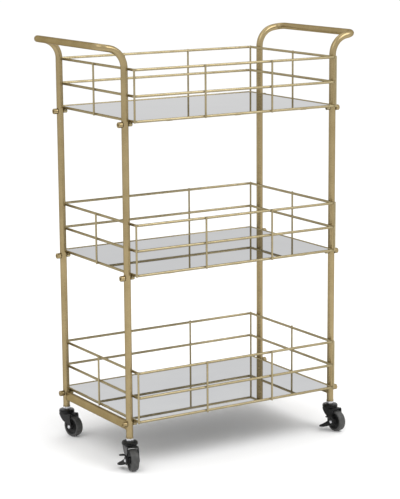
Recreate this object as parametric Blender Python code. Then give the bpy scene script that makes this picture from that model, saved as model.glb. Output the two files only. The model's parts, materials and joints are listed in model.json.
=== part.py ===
"""Three-tier wire bar cart on four swivel casters.

Two bent tube end frames carry three wire baskets, each bolted on at its four
corners and floored with a mirror panel. +X runs along the cart to its right
handle, +Y to its back and +Z up. The origin is on the floor under the middle
of the four swivel axes. Every length is in metres.
"""
import math

import bmesh
import bpy
from mathutils import Matrix, Vector

# Whole cart
HEIGHT = 0.965
WIDTH = 0.700
GAP = 0.0003

# End frames, each one bent tube
TUBE_RADIUS = 0.0079
TUBE_WALL = 0.0012
POST_X = 0.2795
POST_Y = 0.1545
POST_BOTTOM = 0.0727
CROSSBAR_Z = HEIGHT - TUBE_RADIUS
HANDLE_REACH = WIDTH / 2 - TUBE_RADIUS - POST_X
HANDLE_SLOPE = math.radians(10)
POST_BEND_RADIUS = 0.045
HANDLE_BEND_RADIUS = 0.022
CROSS_BAR_Z = 0.0972
CROSS_BAR_WIDTH = 0.010
CROSS_BAR_HEIGHT = 0.0196

# Baskets
TIERS = {"lower": 0.1104, "middle": 0.448, "upper": 0.792}
RING_LENGTH = 0.536
RING_DEPTH = 0.359
RING_CORNER = 0.006
RAIL_RADIUS = 0.003
MIDDLE_RING_RISE = 0.0557
TOP_RING_RISE = 0.1134
UPRIGHT_RADIUS = 0.00225
WELD = 0.0004
MIRROR_TOP = 0.0015
MIRROR_THICKNESS = 0.003
MIRROR_PLAY = 0.0005
MIRROR_CORNER = 0.004
BAR_WIDTH = 0.016
BAR_THICKNESS = 0.002
BAR_PLACES = (-0.18, 0.0, 0.18)

# Fasteners between posts and baskets
BOSS_RADIUS = 0.0048
BOSS_LENGTH = 0.009
BOLT_DROP = RAIL_RADIUS + BOSS_RADIUS - WELD
SHANK_RADIUS = 0.003
BOLT_HOLE_RADIUS = 0.0033
HEAD_RADIUS = 0.0065
HEAD_HEIGHT = 0.0095
SOCKET_RADIUS = 0.0029
SOCKET_DEPTH = 0.004

# Casters, heights above the floor
WHEEL_RADIUS = 0.025
TRAIL = 0.024
TYRE_HALF = 0.009
HUB_HALF = 0.0115
RIM_RADIUS = 0.0195
LEG_INSIDE = 0.012
LEG_OUTSIDE = 0.0142
WEB_UNDERSIDE = 0.0545
WEB_TOP = 0.0565
LIP_BOTTOM = 0.0532
LIP_INSIDE = 0.0247
AXLE_RADIUS = 0.003
AXLE_HOLE_RADIUS = 0.0033
AXLE_HEAD_HEIGHT = 0.0022
STEM_RADIUS = 0.004
STEM_TOP = 0.0925
CROWN_RADIUS = 0.0185
BALL_RADIUS = 0.0019
BALL_CIRCLE = 0.0115
BALL_HEIGHT = 0.0596
BALLS = 6
RACE_UNDERSIDE = BALL_HEIGHT + BALL_RADIUS + GAP
SKIRT_BOTTOM = RACE_UNDERSIDE - 0.0018
COLLAR_BOTTOM = 0.0640
COLLAR_TOP = 0.0694
COLLAR_RADIUS = 0.0081
SOCKET_FLANGE_RADIUS = 0.0087
SOCKET_PLUG_RADIUS = 0.0058
SOCKET_BORE_RADIUS = 0.0043
SOCKET_TOP = 0.0945
LEVER_THICKNESS = 0.003
LEVER_BOSS_RADIUS = 0.0105

# Each caster's corner, its swivel angle from trailing straight to the front,
# and whether it carries a brake lever
CASTERS = {
    "front_left": (-1, -1, math.radians(-14), True),
    "front_right": (1, -1, math.radians(4), True),
    "back_left": (-1, 1, math.radians(13), False),
    "back_right": (1, 1, math.radians(165), False),
}

SIDES = {"left": -1, "right": 1}
ALONG_X = Matrix.Rotation(math.radians(90), 4, "Y")


def clear_scene():
    """Take every object out of the scene."""
    for item in list(bpy.data.objects):
        bpy.data.objects.remove(item, do_unlink=True)


def finish(name, colour, roughness, metallic):
    """Make one Principled material."""
    made = bpy.data.materials.new(name)
    made.use_nodes = True
    shader = made.node_tree.nodes["Principled BSDF"]
    shader.inputs["Base Color"].default_value = (*colour, 1.0)
    shader.inputs["Roughness"].default_value = roughness
    shader.inputs["Metallic"].default_value = metallic
    return made


def make_finishes():
    """Make the cart's materials by name."""
    return {
        "gold": finish("champagne_gold_coat", (0.45, 0.34, 0.18), 0.35, 0.9),
        "mirror": finish("mirror_glass", (0.78, 0.80, 0.81), 0.03, 1.0),
        "black": finish("black_painted_steel", (0.02, 0.02, 0.02), 0.4, 0.3),
        "nylon": finish("black_nylon", (0.025, 0.025, 0.025), 0.5, 0.0),
        "rubber": finish("black_rubber", (0.05, 0.05, 0.05), 0.6, 0.0),
        "zinc": finish("zinc_plate", (0.75, 0.75, 0.76), 0.3, 1.0),
        "steel": finish("bearing_steel", (0.6, 0.6, 0.6), 0.2, 1.0),
    }


def add_object(name, data, material, parent=None):
    """Add data to the scene as a named object with one material."""
    made = bpy.data.objects.new(name, data)
    bpy.context.collection.objects.link(made)
    if material is not None and not data.materials:
        data.materials.append(material)
    made.parent = parent
    return made


def add_empty(name, place, turn=0.0, parent=None):
    """Add an empty that stands on a joint's axis."""
    made = bpy.data.objects.new(name, None)
    bpy.context.collection.objects.link(made)
    made.location = place
    made.rotation_euler = (0.0, 0.0, turn)
    made.parent = parent
    return made


def to_mesh(bm, name):
    """Turn a bmesh into a mesh whose faces point out and look round."""
    bmesh.ops.recalc_face_normals(bm, faces=bm.faces)
    mesh = bpy.data.meshes.new(name)
    bm.to_mesh(mesh)
    bm.free()
    mesh.shade_smooth()
    mesh.set_sharp_from_angle(angle=math.radians(35))
    return mesh


def filleted(corners, radii, steps, closed=False):
    """Round the inner corners of a path, each with an arc of its own radius."""
    corners = [Vector(corner) for corner in corners]
    count = len(corners)
    path = []
    for index, corner in enumerate(corners):
        at_end = index in (0, count - 1)
        if at_end and not closed:
            path.append(corner)
            continue
        back = (corners[index - 1] - corner).normalized()
        ahead = (corners[(index + 1) % count] - corner).normalized()
        half = back.angle(ahead) / 2
        bisector = (back + ahead).normalized()
        centre = corner + bisector * (radii[index] / math.sin(half))
        start = corner + back * (radii[index] / math.tan(half)) - centre
        axis = back.cross(ahead).normalized()
        turn = -(math.pi - 2 * half)
        for step in range(steps + 1):
            spoke = Matrix.Rotation(turn * step / steps, 3, axis) @ start
            path.append(centre + spoke)
    return path


def swept(path, radius, resolution, closed=False):
    """Sweep a round section along a path as a curve, and return it as a closed mesh."""
    curve = bpy.data.curves.new("sweep", "CURVE")
    curve.dimensions = "3D"
    curve.bevel_depth = radius
    curve.bevel_resolution = resolution
    curve.use_fill_caps = not closed
    spline = curve.splines.new("POLY")
    spline.points.add(len(path) - 1)
    spline.use_cyclic_u = closed
    for point, place in zip(spline.points, path):
        point.co = (*place, 1.0)
    guide = add_object("sweep", curve, None)
    graph = bpy.context.evaluated_depsgraph_get()
    mesh = bpy.data.meshes.new_from_object(guide.evaluated_get(graph))
    bpy.data.objects.remove(guide, do_unlink=True)
    return mesh


def add_sweep(bm, path, radius, resolution, closed=False):
    """Add a swept tube to a bmesh, its caps joined to its sides."""
    bm.from_mesh(swept(path, radius, resolution, closed))
    bmesh.ops.remove_doubles(bm, verts=bm.verts, dist=1e-6)


def turned(bm, profile, segments, matrix=Matrix(), phase=0.0):
    """Spin a (radius, height) outline about Z. It may touch the axis at its ends."""
    start = Matrix.Rotation(phase, 4, "Z")
    ring = [bm.verts.new(start @ Vector((radius, 0.0, height))) for radius, height in profile]
    touches_axis = profile[0][0] == 0.0
    edges = [bm.edges.new(pair) for pair in zip(ring, ring[1:])]
    if not touches_axis:
        edges.append(bm.edges.new((ring[-1], ring[0])))
    before = set(bm.verts) - set(ring)
    bmesh.ops.spin(
        bm,
        geom=ring + edges,
        cent=(0.0, 0.0, 0.0),
        axis=(0.0, 0.0, 1.0),
        angle=math.tau,
        steps=segments,
        use_merge=True,
    )
    made = [vert for vert in bm.verts if vert not in before]
    if touches_axis:
        bmesh.ops.remove_doubles(bm, verts=made, dist=1e-6)
        made = [vert for vert in bm.verts if vert not in before]
    bmesh.ops.transform(bm, matrix=matrix, verts=made)


def cylinder(bm, radius, low, high, segments, matrix=Matrix()):
    """Add a capped cylinder on Z from low to high, moved by a matrix."""
    place = matrix @ Matrix.Translation((0.0, 0.0, (low + high) / 2))
    bmesh.ops.create_cone(
        bm,
        cap_ends=True,
        segments=segments,
        radius1=radius,
        radius2=radius,
        depth=high - low,
        matrix=place,
    )


def box(bm, low, high):
    """Add a box between two corners."""
    low, high = Vector(low), Vector(high)
    place = Matrix.Translation((low + high) / 2) @ Matrix.Diagonal((*(high - low), 1.0))
    bmesh.ops.create_cube(bm, size=1.0, matrix=place)


def hull(bm, points):
    """Add the convex solid around some points."""
    made = [bm.verts.new(point) for point in points]
    bmesh.ops.convex_hull(bm, input=made)


def prism(bm, outline, low, high):
    """Extrude an outline in the YZ plane from x = low to x = high."""
    made = [bm.verts.new((low, y, z)) for y, z in outline]
    face = bm.faces.new(made)
    grown = bmesh.ops.extrude_face_region(bm, geom=[face])
    moved = [item for item in grown["geom"] if isinstance(item, bmesh.types.BMVert)]
    bmesh.ops.translate(bm, vec=(high - low, 0.0, 0.0), verts=moved)


def add_boolean(target, name, operation, build_cutter):
    """Give target a Boolean with a hidden cutter built by a function."""
    bm = bmesh.new()
    build_cutter(bm)
    cutter = add_object(name, to_mesh(bm, name), None)
    cutter.hide_render = True
    cutter.display_type = "WIRE"
    cut = target.modifiers.new(name, "BOOLEAN")
    cut.operation = operation
    cut.solver = "EXACT"
    cut.object = cutter


def baked(name, build_base, steps):
    """Build a mesh and run Boolean steps on it once, so that copies share it."""
    bm = bmesh.new()
    build_base(bm)
    base = add_object(name, to_mesh(bm, name), None)
    for index, (operation, build_cutter) in enumerate(steps):
        add_boolean(base, f"{name}_tool_{index}", operation, build_cutter)
    graph = bpy.context.evaluated_depsgraph_get()
    mesh = bpy.data.meshes.new_from_object(base.evaluated_get(graph))
    mesh.shade_smooth()
    mesh.set_sharp_from_angle(angle=math.radians(35))
    tools = [cut.object for cut in base.modifiers]
    for item in [base, *tools]:
        bpy.data.objects.remove(item, do_unlink=True)
    return mesh


def rounded_rectangle(length, depth, radius, height, steps):
    """Points of a rectangle with round corners at one height."""
    x, y = length / 2, depth / 2
    corners = [(-x, -y, height), (x, -y, height), (x, y, height), (-x, y, height)]
    return filleted(corners, [radius] * 4, steps, closed=True)


def frame_path(sign, foot_z):
    """Centre line of one end frame: up the front post, along the handle, down the back post."""
    bend_z = CROSSBAR_Z - HANDLE_REACH * math.tan(HANDLE_SLOPE)
    post_x, bar_x = sign * POST_X, sign * (POST_X + HANDLE_REACH)
    corners = [
        (post_x, -POST_Y, foot_z),
        (post_x, -POST_Y, bend_z),
        (bar_x, -POST_Y, CROSSBAR_Z),
        (bar_x, POST_Y, CROSSBAR_Z),
        (post_x, POST_Y, bend_z),
        (post_x, POST_Y, foot_z),
    ]
    bends = [POST_BEND_RADIUS, HANDLE_BEND_RADIUS, HANDLE_BEND_RADIUS, POST_BEND_RADIUS]
    return filleted(corners, [0.0, *bends, 0.0], 5)


def end_frame(sign):
    """Mesh of one end frame: a bent tube with a flat-sided cross bar welded between its feet."""
    post_x = sign * POST_X
    inner = TUBE_RADIUS - TUBE_WALL

    def tube(bm):
        add_sweep(bm, frame_path(sign, POST_BOTTOM), TUBE_RADIUS, 4)

    def bar(bm, wall):
        half_x, half_z = CROSS_BAR_WIDTH / 2 - wall, CROSS_BAR_HEIGHT / 2 - wall
        low = (post_x - half_x, -POST_Y, CROSS_BAR_Z - half_z)
        high = (post_x + half_x, POST_Y, CROSS_BAR_Z + half_z)
        box(bm, low, high)

    def cross_bar(bm):
        bar(bm, 0.0)

    def bore(bm):
        add_sweep(bm, frame_path(sign, POST_BOTTOM - TUBE_RADIUS), inner, 2)

    def cross_bore(bm):
        bar(bm, TUBE_WALL)

    def bolt_holes(bm):
        for tier_z in TIERS.values():
            for y in (-POST_Y, POST_Y):
                place = Matrix.Translation((post_x, y, tier_z - BOLT_DROP)) @ ALONG_X
                cylinder(bm, BOLT_HOLE_RADIUS, -2 * TUBE_RADIUS, 2 * TUBE_RADIUS, 8, place)

    steps = [
        ("UNION", cross_bar),
        ("DIFFERENCE", bore),
        ("DIFFERENCE", cross_bore),
        ("DIFFERENCE", bolt_holes),
    ]
    return baked("end_frame", tube, steps)


def add_ring(bm, spread, height):
    """Add one rectangular wire ring, its centre line spread outward from the basket's size."""
    length, depth = RING_LENGTH + 2 * spread, RING_DEPTH + 2 * spread
    add_sweep(bm, rounded_rectangle(length, depth, RING_CORNER, height, 3), RAIL_RADIUS, 2, closed=True)


def upright_places():
    """Plan position of the ten uprights, all on the outside of the rails."""
    x, y = RING_LENGTH / 2, RING_DEPTH / 2
    out = RAIL_RADIUS + UPRIGHT_RADIUS + GAP
    diagonal = (RING_CORNER + out) / math.sqrt(2) - RING_CORNER
    places = [(sx * (x + diagonal), sy * (y + diagonal)) for sx in (-1, 1) for sy in (-1, 1)]
    places += [(sx * RING_LENGTH / 6, sy * (y + out)) for sx in (-1, 1) for sy in (-1, 1)]
    places += [(sx * (x + out), 0.0) for sx in (-1, 1)]
    return places


def bolt_line(sx, sy):
    """Matrix of a corner's bolt at the basket's own height, its Z running outward."""
    place = Matrix.Translation((sx * POST_X, sy * POST_Y, -BOLT_DROP))
    return place @ Matrix.Rotation(sx * math.radians(90), 4, "Y")


def floor_ring_mesh():
    """Bottom ring with its floor bars and the four threaded bosses welded on."""
    bar_top = MIRROR_TOP - MIRROR_THICKNESS - GAP
    bar_end = RING_DEPTH / 2 - 0.001
    boss_high = -TUBE_RADIUS - GAP

    def ring(bm):
        add_ring(bm, 0.0, 0.0)

    def floor_bars(bm):
        for x in BAR_PLACES:
            lowest = (x - BAR_WIDTH / 2, -bar_end, bar_top - BAR_THICKNESS)
            box(bm, lowest, (x + BAR_WIDTH / 2, bar_end, bar_top))

    def bosses(bm):
        wall = [
            (BOLT_HOLE_RADIUS, boss_high - BOSS_LENGTH),
            (BOSS_RADIUS, boss_high - BOSS_LENGTH),
            (BOSS_RADIUS, boss_high),
            (BOLT_HOLE_RADIUS, boss_high),
        ]
        for sx, sy, _, _ in CASTERS.values():
            turned(bm, wall, 12, bolt_line(sx, sy), math.radians(15))

    return baked("floor_ring", ring, [("UNION", floor_bars), ("UNION", bosses)])


def cage_ring_mesh():
    """Middle ring with the ten uprights welded to it."""

    def ring(bm):
        add_ring(bm, GAP + WELD, MIDDLE_RING_RISE)

    def uprights(bm):
        middle = TOP_RING_RISE / 2
        reach = middle + RAIL_RADIUS
        for x, y in upright_places():
            place = Matrix.Translation((x, y, middle))
            cylinder(bm, UPRIGHT_RADIUS, -reach, reach, 8, place)

    return baked("cage_ring", ring, [("UNION", uprights)])


def top_ring_mesh():
    """Top ring, a plain wire rectangle."""
    bm = bmesh.new()
    add_ring(bm, 0.0, TOP_RING_RISE)
    return to_mesh(bm, "top_ring")


def mirror_mesh():
    """Mirror panel that drops inside the bottom ring onto the floor bars."""
    play = 2 * (RAIL_RADIUS + MIRROR_PLAY)
    bottom = MIRROR_TOP - MIRROR_THICKNESS
    outline = rounded_rectangle(RING_LENGTH - play, RING_DEPTH - play, MIRROR_CORNER, bottom, 3)
    bm = bmesh.new()
    face = bm.faces.new([bm.verts.new(point) for point in outline])
    grown = bmesh.ops.extrude_face_region(bm, geom=[face])
    moved = [item for item in grown["geom"] if isinstance(item, bmesh.types.BMVert)]
    bmesh.ops.translate(bm, vec=(0.0, 0.0, MIRROR_THICKNESS), verts=moved)
    return to_mesh(bm, "mirror_panel")


def bolt_mesh():
    """Domed bolt along Z from the post's middle, with a hexagonal socket in its head."""
    tip = -TUBE_RADIUS - GAP - BOSS_LENGTH + 0.002
    head_low = TUBE_RADIUS + GAP
    head_high = head_low + HEAD_HEIGHT

    def shape(bm):
        outline = [
            (0.0, tip),
            (SHANK_RADIUS, tip),
            (SHANK_RADIUS, head_low),
            (HEAD_RADIUS, head_low),
            (HEAD_RADIUS, head_low + 0.6 * HEAD_HEIGHT),
            (0.78 * HEAD_RADIUS, head_high),
            (0.0, head_high),
        ]
        turned(bm, outline, 10)

    def hex_socket(bm):
        cylinder(bm, SOCKET_RADIUS, head_high - SOCKET_DEPTH, head_high + 0.002, 6)

    return baked("basket_bolt", shape, [("DIFFERENCE", hex_socket)])


def baskets(finishes):
    """Three baskets, each with its mirror panel and the four bolts that hold it."""
    gold = finishes["gold"]
    pieces = {
        "floor_ring": (floor_ring_mesh(), gold),
        "cage_ring": (cage_ring_mesh(), gold),
        "top_ring": (top_ring_mesh(), gold),
        "mirror_panel": (mirror_mesh(), finishes["mirror"]),
    }
    bolt = bolt_mesh()
    for tier, tier_z in TIERS.items():
        for piece, (mesh, material) in pieces.items():
            made = add_object(f"{tier}_{piece}", mesh, material)
            made.location.z = tier_z
        for corner, (sx, sy, _, _) in CASTERS.items():
            made = add_object(f"{tier}_{corner}_bolt", bolt, gold)
            made.matrix_world = Matrix.Translation((0.0, 0.0, tier_z)) @ bolt_line(sx, sy)


def post_socket_mesh():
    """Threaded plug for an open post end, with a flange under the tube."""
    flange_low, flange_high = COLLAR_TOP + GAP, POST_BOTTOM - GAP
    wall = [
        (SOCKET_BORE_RADIUS, flange_low),
        (SOCKET_FLANGE_RADIUS, flange_low),
        (SOCKET_FLANGE_RADIUS, flange_high),
        (SOCKET_PLUG_RADIUS, flange_high),
        (SOCKET_PLUG_RADIUS, SOCKET_TOP),
        (SOCKET_BORE_RADIUS, SOCKET_TOP),
    ]
    bm = bmesh.new()
    turned(bm, wall, 12)
    return to_mesh(bm, "post_socket")


def stem_mesh():
    """Threaded stem with a hexagonal collar, riveted over under the fork."""
    profile = [
        (0.0, WEB_UNDERSIDE - 0.0026),
        (0.0058, WEB_UNDERSIDE - 0.0026),
        (0.007, WEB_UNDERSIDE - 0.0015),
        (0.007, WEB_UNDERSIDE - GAP),
        (STEM_RADIUS, WEB_UNDERSIDE - GAP),
        (STEM_RADIUS, STEM_TOP - 0.001),
        (STEM_RADIUS - 0.001, STEM_TOP),
        (0.0, STEM_TOP),
    ]

    def shaft(bm):
        turned(bm, profile, 10)

    def collar(bm):
        cylinder(bm, COLLAR_RADIUS, COLLAR_BOTTOM, COLLAR_TOP, 6)

    return baked("caster_stem", shaft, [("UNION", collar)])


def race_cup_mesh():
    """The fixed upper raceway, a shallow dome with a turned-down skirt."""
    bore = STEM_RADIUS + GAP
    profile = [
        (bore, RACE_UNDERSIDE),
        (0.0152, RACE_UNDERSIDE),
        (0.0162, SKIRT_BOTTOM),
        (0.0178, SKIRT_BOTTOM),
        (0.0178, RACE_UNDERSIDE - 0.0002),
        (0.0150, RACE_UNDERSIDE + 0.0012),
        (bore, COLLAR_BOTTOM - GAP),
    ]
    bm = bmesh.new()
    turned(bm, profile, 16)
    return to_mesh(bm, "caster_race_cup")


def ball_cage_mesh():
    """The ring of swivel balls in their cage, between the cup and the fork crown."""

    def ring(bm):
        low, high = BALL_HEIGHT - 0.0005, BALL_HEIGHT + 0.0005
        inner, outer = BALL_CIRCLE - 0.0013, BALL_CIRCLE + 0.0013
        turned(bm, [(inner, low), (outer, low), (outer, high), (inner, high)], 12)

    def balls(bm):
        for index in range(BALLS):
            turn = Matrix.Rotation(math.tau * (index + 0.5) / BALLS, 4, "Z")
            place = turn @ Matrix.Translation((BALL_CIRCLE, 0.0, BALL_HEIGHT))
            bmesh.ops.create_icosphere(bm, subdivisions=1, radius=BALL_RADIUS, matrix=place)

    return baked("ball_cage", ring, [("UNION", balls)])


def fork_outline():
    """Side outline of the fork in (y, z): slanted front edge, round axle end, upright back."""
    axle_end = 0.008
    outline = [(0.0120, WEB_TOP), (0.0120, 0.0530), (0.0085, 0.0455), (-0.0010, 0.0365)]
    for step in range(7):
        angle = math.radians(40 + 200 * step / 6)
        outline.append((-TRAIL + axle_end * math.cos(-angle), WHEEL_RADIUS + axle_end * math.sin(-angle)))
    outline += [(-0.0275, 0.0400), (-0.0265, 0.0500), (-0.0265, WEB_TOP)]
    return outline


def fork_mesh():
    """Pressed fork: a channel over the wheel with a raised crown dish on top."""

    def channel(bm):
        prism(bm, fork_outline(), -LEG_OUTSIDE, LEG_OUTSIDE)

    def wheel_space(bm):
        box(bm, (-LEG_INSIDE, -LIP_INSIDE, -0.01), (LEG_INSIDE, 0.03, WEB_UNDERSIDE))

    def lip_space(bm):
        box(bm, (-LEG_INSIDE, -0.05, -0.01), (LEG_INSIDE, 0.03, LIP_BOTTOM))

    def crown(bm):
        dish = [
            (0.0, WEB_TOP - 0.0015),
            (0.0168, WEB_TOP - 0.0015),
            (CROWN_RADIUS, WEB_TOP - 0.0005),
            (CROWN_RADIUS, SKIRT_BOTTOM - GAP),
            (0.0170, SKIRT_BOTTOM - GAP),
            (0.0158, WEB_TOP + 0.0004),
            (0.0, WEB_TOP + 0.0004),
        ]
        turned(bm, dish, 16)

    def stem_hole(bm):
        cylinder(bm, STEM_RADIUS + 0.0005, 0.045, 0.060, 10)

    def axle_holes(bm):
        place = Matrix.Translation((0.0, -TRAIL, WHEEL_RADIUS)) @ ALONG_X
        cylinder(bm, AXLE_HOLE_RADIUS, -0.02, 0.02, 8, place)

    steps = [
        ("DIFFERENCE", wheel_space),
        ("DIFFERENCE", lip_space),
        ("UNION", crown),
        ("DIFFERENCE", stem_hole),
        ("DIFFERENCE", axle_holes),
    ]
    return baked("caster_fork", channel, steps)


def hub_mesh():
    """Wheel core on X: a long boss, a thin web and a rim."""
    half = [(AXLE_HOLE_RADIUS, HUB_HALF), (0.007, HUB_HALF), (0.0082, 0.0035), (0.0165, 0.0035)]
    half += [(0.0172, 0.008), (RIM_RADIUS, 0.008)]
    profile = [(radius, -x) for radius, x in half] + list(reversed(half))
    bm = bmesh.new()
    turned(bm, profile, 12, ALONG_X)
    return to_mesh(bm, "caster_hub")


def tyre_mesh():
    """Crowned tyre on X, turned so that a flat of its rim meets the floor."""
    sides = 24
    flat = WHEEL_RADIUS / math.cos(math.pi / sides)
    half = [(RIM_RADIUS + GAP, 0.0082), (0.0224, TYRE_HALF), (0.0241, 0.0078), (flat, 0.0038)]
    profile = [(radius, -x) for radius, x in half] + list(reversed(half))
    bm = bmesh.new()
    turned(bm, profile, sides, ALONG_X, math.pi / sides)
    return to_mesh(bm, "caster_tyre")


def axle_mesh(name, brake_side):
    """Riveted axle on X. Its left head stands off by the thickness beside the fork leg."""
    right = LEG_OUTSIDE + GAP
    left = -right - (LEVER_THICKNESS + GAP if brake_side else 0.0)
    head = 0.0045
    profile = [
        (0.0, left - AXLE_HEAD_HEIGHT),
        (0.6 * head, left - AXLE_HEAD_HEIGHT),
        (head, left - 0.4 * AXLE_HEAD_HEIGHT),
        (head, left),
        (AXLE_RADIUS, left),
        (AXLE_RADIUS, right),
        (head, right),
        (head, right + 0.4 * AXLE_HEAD_HEIGHT),
        (0.6 * head, right + AXLE_HEAD_HEIGHT),
        (0.0, right + AXLE_HEAD_HEIGHT),
    ]
    bm = bmesh.new()
    turned(bm, profile, 10, ALONG_X)
    return to_mesh(bm, name)


def brake_lever_mesh():
    """Rocker on the axle's left end: a boss, a long foot pad and a short release tab."""
    inner = -LEG_OUTSIDE - GAP
    outer = inner - LEVER_THICKNESS

    def boss(bm):
        outline = [
            (
                LEVER_BOSS_RADIUS * math.cos(math.tau * step / 16),
                LEVER_BOSS_RADIUS * math.sin(math.tau * step / 16),
            )
            for step in range(16)
        ]
        prism(bm, outline, outer, inner)

    def foot_pad(bm):
        near, far = inner - 0.0004, outer - 0.0012
        foot = [(-0.0020, -0.0098), (0.0078, -0.0100), (0.0098, 0.0010), (0.0040, 0.0060)]
        root = [(x, y, z) for x in (near, far) for y, z in foot]
        blade = [(0.0240, -0.0170), (0.0325, -0.0176), (0.0325, -0.0144), (0.0240, -0.0112)]
        tip = [(x, y, z) for x in (near - 0.002, near - 0.0145) for y, z in blade]
        hull(bm, root + tip)

    def release_tab(bm):
        root = [
            (x, y, z)
            for x in (inner - 0.0003, outer - 0.0008)
            for y in (-0.0065, 0.0055)
            for z in (0.0050, 0.0148)
        ]
        tip = [(-0.0320, y, z) for y in (-0.0050, 0.0040) for z in (0.0128, 0.0160)]
        hull(bm, root + tip)

    def axle_hole(bm):
        cylinder(bm, AXLE_HOLE_RADIUS, -0.04, 0.0, 8, ALONG_X)

    def head_room(bm):
        cylinder(bm, 0.0052, outer - 0.02, outer - 0.0001, 12, ALONG_X)

    steps = [
        ("UNION", foot_pad),
        ("UNION", release_tab),
        ("DIFFERENCE", axle_hole),
        ("DIFFERENCE", head_room),
    ]
    return baked("caster_brake_lever", boss, steps)


def casters(finishes):
    """Four swivel casters. Each fork turns on its stem and each wheel on its axle."""
    meshes = {
        "stem": stem_mesh(),
        "race_cup": race_cup_mesh(),
        "ball_cage": ball_cage_mesh(),
        "post_socket": post_socket_mesh(),
        "fork": fork_mesh(),
        "hub": hub_mesh(),
        "tyre": tyre_mesh(),
        "plain_axle": axle_mesh("caster_axle", False),
        "brake_axle": axle_mesh("caster_brake_axle", True),
        "brake_lever": brake_lever_mesh(),
    }
    for corner, (sx, sy, turn, has_brake) in CASTERS.items():
        swivel = add_empty(f"{corner}_swivel_line", (sx * POST_X, sy * POST_Y, 0.0), turn)
        axle_line = add_empty(f"{corner}_axle_line", (0.0, -TRAIL, WHEEL_RADIUS), 0.0, swivel)
        axle = meshes["brake_axle"] if has_brake else meshes["plain_axle"]
        add_object(f"{corner}_post_socket", meshes["post_socket"], finishes["gold"], swivel)
        add_object(f"{corner}_caster_stem", meshes["stem"], finishes["zinc"], swivel)
        add_object(f"{corner}_race_cup", meshes["race_cup"], finishes["black"], swivel)
        add_object(f"{corner}_ball_cage", meshes["ball_cage"], finishes["steel"], swivel)
        add_object(f"{corner}_fork", meshes["fork"], finishes["black"], swivel)
        add_object(f"{corner}_axle", axle, finishes["zinc"], axle_line)
        add_object(f"{corner}_wheel_hub", meshes["hub"], finishes["nylon"], axle_line)
        add_object(f"{corner}_tyre", meshes["tyre"], finishes["rubber"], axle_line)
        if has_brake:
            add_object(f"{corner}_brake_lever", meshes["brake_lever"], finishes["nylon"], axle_line)


def build_cart():
    """Build every piece of the cart."""
    clear_scene()
    finishes = make_finishes()
    for side, sign in SIDES.items():
        add_object(f"{side}_end_frame", end_frame(sign), finishes["gold"])
    baskets(finishes)
    casters(finishes)


build_cart()
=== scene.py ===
"""Looks of a three-tier wire bar cart on swivel casters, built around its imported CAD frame.

Two end frames of bent tube carry three welded wire baskets floored with mirror
panels. Each class is one sub-assembly: it takes its place from the CAD nodes
and the joints, and draws smooth pieces that stand for those nodes. Lengths are
in metres, +X runs along the cart, +Y to its back and +Z up.
"""

import json
import logging
import math
from collections.abc import Sequence
from dataclasses import dataclass, field, replace
from enum import Enum
from typing import Any

import bmesh
import bpy
import numpy as np
from mathutils import Euler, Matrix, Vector


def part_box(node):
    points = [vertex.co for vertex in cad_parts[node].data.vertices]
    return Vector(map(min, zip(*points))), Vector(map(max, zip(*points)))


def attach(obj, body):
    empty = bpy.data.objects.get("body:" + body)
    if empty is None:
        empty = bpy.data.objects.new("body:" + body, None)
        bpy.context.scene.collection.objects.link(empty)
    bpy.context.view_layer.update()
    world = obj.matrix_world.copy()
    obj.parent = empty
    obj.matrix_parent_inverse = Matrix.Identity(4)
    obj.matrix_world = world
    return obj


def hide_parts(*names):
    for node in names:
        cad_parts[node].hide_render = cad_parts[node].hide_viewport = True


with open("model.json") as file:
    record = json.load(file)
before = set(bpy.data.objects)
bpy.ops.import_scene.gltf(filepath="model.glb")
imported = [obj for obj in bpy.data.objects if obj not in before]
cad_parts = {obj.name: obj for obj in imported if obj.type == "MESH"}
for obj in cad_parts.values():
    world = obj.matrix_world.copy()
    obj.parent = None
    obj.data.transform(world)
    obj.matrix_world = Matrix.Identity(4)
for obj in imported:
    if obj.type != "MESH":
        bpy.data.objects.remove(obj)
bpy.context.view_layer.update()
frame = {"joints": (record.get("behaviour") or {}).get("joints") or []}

LOG = logging.getLogger("bar_cart")
MM = 0.001
SMOOTH_ANGLE = math.radians(38)
WELD_DISTANCE = 1e-6
UP = np.array([0.0, 0.0, 1.0])
# The share of an edge that the arc at one of its ends may take.
ARC_SHARE = 0.45
# A noise texture runs from 0 to 1, and nearly all of it lies between these two.
NOISE_LOW, NOISE_HIGH = 0.3, 0.7


class Side(Enum):
    """The two ends of the cart, with the sign of their X."""

    LEFT = -1
    RIGHT = 1


class Tier(Enum):
    """The three baskets, by their names in the CAD."""

    LOWER = "lower"
    MIDDLE = "middle"
    UPPER = "upper"


class Corner(Enum):
    """The four corners, with the signs of their X and Y."""

    FRONT_LEFT = (-1, -1)
    FRONT_RIGHT = (1, -1)
    BACK_LEFT = (-1, 1)
    BACK_RIGHT = (1, 1)

    @property
    def label(self) -> str:
        """The corner's name in the CAD."""
        return self.name.lower()


# ---------------------------------------------------------------- surfaces


def unit(vectors: np.ndarray) -> np.ndarray:
    """Vectors scaled to length one, row by row."""
    return vectors / np.linalg.norm(vectors, axis=-1, keepdims=True)


def angles(count: int, phase: float = 0.0) -> np.ndarray:
    """Equal steps round a full turn, without the last one."""
    return phase + np.arange(count) * (math.tau / count)


def between(rows: Sequence[Sequence[float]], places: np.ndarray) -> list[np.ndarray]:
    """Columns of a table, interpolated at places along its first column."""
    knots, *columns = np.asarray(rows, float).T
    return [np.interp(places, knots, column) for column in columns]


def signed_power(values: np.ndarray, power: float) -> np.ndarray:
    """The power of each value's size, with the value's own sign."""
    return np.sign(values) * np.abs(values) ** power


def hexagon(apothem: float, a: np.ndarray) -> np.ndarray:
    """Distance from a hexagon's middle to its edge: apothem / cos(angle from the nearest flat's middle)."""
    sixth = math.pi / 3
    return apothem / np.cos((a + sixth / 2) % sixth - sixth / 2)


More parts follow.
